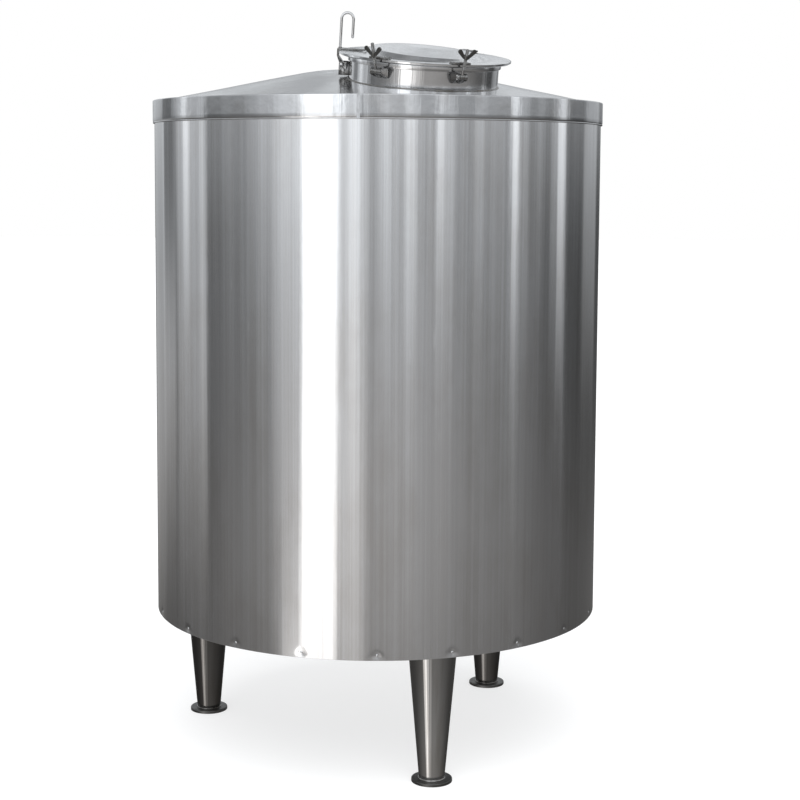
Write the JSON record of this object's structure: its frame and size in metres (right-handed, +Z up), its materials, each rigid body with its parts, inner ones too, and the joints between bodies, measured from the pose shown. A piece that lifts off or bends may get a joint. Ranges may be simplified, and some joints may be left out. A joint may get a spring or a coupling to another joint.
{
  "type": "insulated storage and mixing tank",
  "caption": "Upright round stainless tank on tapered legs, with a conical roof, a hinged tilted manway held by swing bolts, and a bottom outlet.",
  "frame": {"origin": "on the floor under the middle of the tank, at the centre of the box's underside", "axes": "+Z up along the tank's axis, -Y towards the manway at the front, +X to the right as seen from the front"},
  "size_m": [1.413, 1.413, 2.2543],
  "materials": {
    "brushed_steel": "vertical brushed grain, half bright",
    "polished_steel": "polished stainless steel",
    "dull_steel": "dull mill finish",
    "leg_steel": "dark satin stainless steel",
    "fitting_steel": "satin stainless steel",
    "cast_steel": "dark cast stainless steel",
    "gasket_rubber": "matt pale rubber"
  },
  "bodies": {
    "tank": {"bottom_cover": "dull_steel", "clamp_ears_1": "fitting_steel", "clamp_ears_2": "fitting_steel", "clamp_ears_3": "fitting_steel", "clamp_ears_4": "fitting_steel", "foot_plate_1": "leg_steel", "foot_plate_2": "leg_steel", "foot_plate_3": "leg_steel", "hinge_bracket": "fitting_steel", "hinge_pin": "polished_steel", "jacket_1": "brushed_steel", "jacket_2": "brushed_steel", "jacket_3": "brushed_steel", "jacket_4": "brushed_steel", "leg_1": "leg_steel", "leg_2": "leg_steel", "leg_3": "leg_steel", "manway_neck": "polished_steel", "neck_collar": "polished_steel", "outlet_stub": "dull_steel", "rim_band": "polished_steel", "roof": "dull_steel", "roof_middle": "dull_steel", "vessel_bottom": "dull_steel", "vessel_wall_1": "dull_steel", "vessel_wall_2": "dull_steel", "vessel_wall_3": "dull_steel", "vessel_wall_4": "dull_steel"},
    "lid": {"lid_plate": "polished_steel", "lid_rim": "polished_steel", "lid_gasket": "gasket_rubber", "hinge_strap": "fitting_steel", "lid_stay": "polished_steel", "lid_fork_1": "fitting_steel", "lid_fork_2": "fitting_steel", "lid_fork_3": "fitting_steel", "lid_fork_4": "fitting_steel"},
    "clamp_1": {"swing_bolt_1": "fitting_steel", "wing_nut_1": "cast_steel"},
    "clamp_2": {"swing_bolt_2": "fitting_steel", "wing_nut_2": "cast_steel"},
    "clamp_3": {"swing_bolt_3": "fitting_steel", "wing_nut_3": "cast_steel"},
    "clamp_4": {"swing_bolt_4": "fitting_steel", "wing_nut_4": "cast_steel"}
  },
  "joints": [
    {"name": "lid_hinge", "type": "hinge", "parent": "tank", "child": "lid", "pos_m": [-0.21978, -0.3018, 2.10505], "axis": [-0.4226, -0.8941, -0.148], "range_deg": [0, 105]},
    {"name": "clamp_swing_1", "type": "hinge", "parent": "tank", "child": "clamp_1", "pos_m": [-0.20646, -0.56319, 2.06887], "axis": [0.6157, -0.7774, -0.1287], "range_deg": [-18.5, 61.5]},
    {"name": "clamp_swing_2", "type": "hinge", "parent": "tank", "child": "clamp_2", "pos_m": [0.01371, -0.66218, 2.05248], "axis": [0.9986, 0.0516, 0.0085], "range_deg": [-18.5, 61.5]},
    {"name": "clamp_swing_3", "type": "hinge", "parent": "tank", "child": "clamp_3", "pos_m": [0.20924, -0.24849, 2.12097], "axis": [-0.6018, 0.7879, 0.1304], "range_deg": [-76, 4]},
    {"name": "clamp_swing_4", "type": "hinge", "parent": "tank", "child": "clamp_4", "pos_m": [-0.00914, -0.14573, 2.13798], "axis": [-0.9994, -0.0344, -0.0057], "range_deg": [-76, 4]}
  ]
}
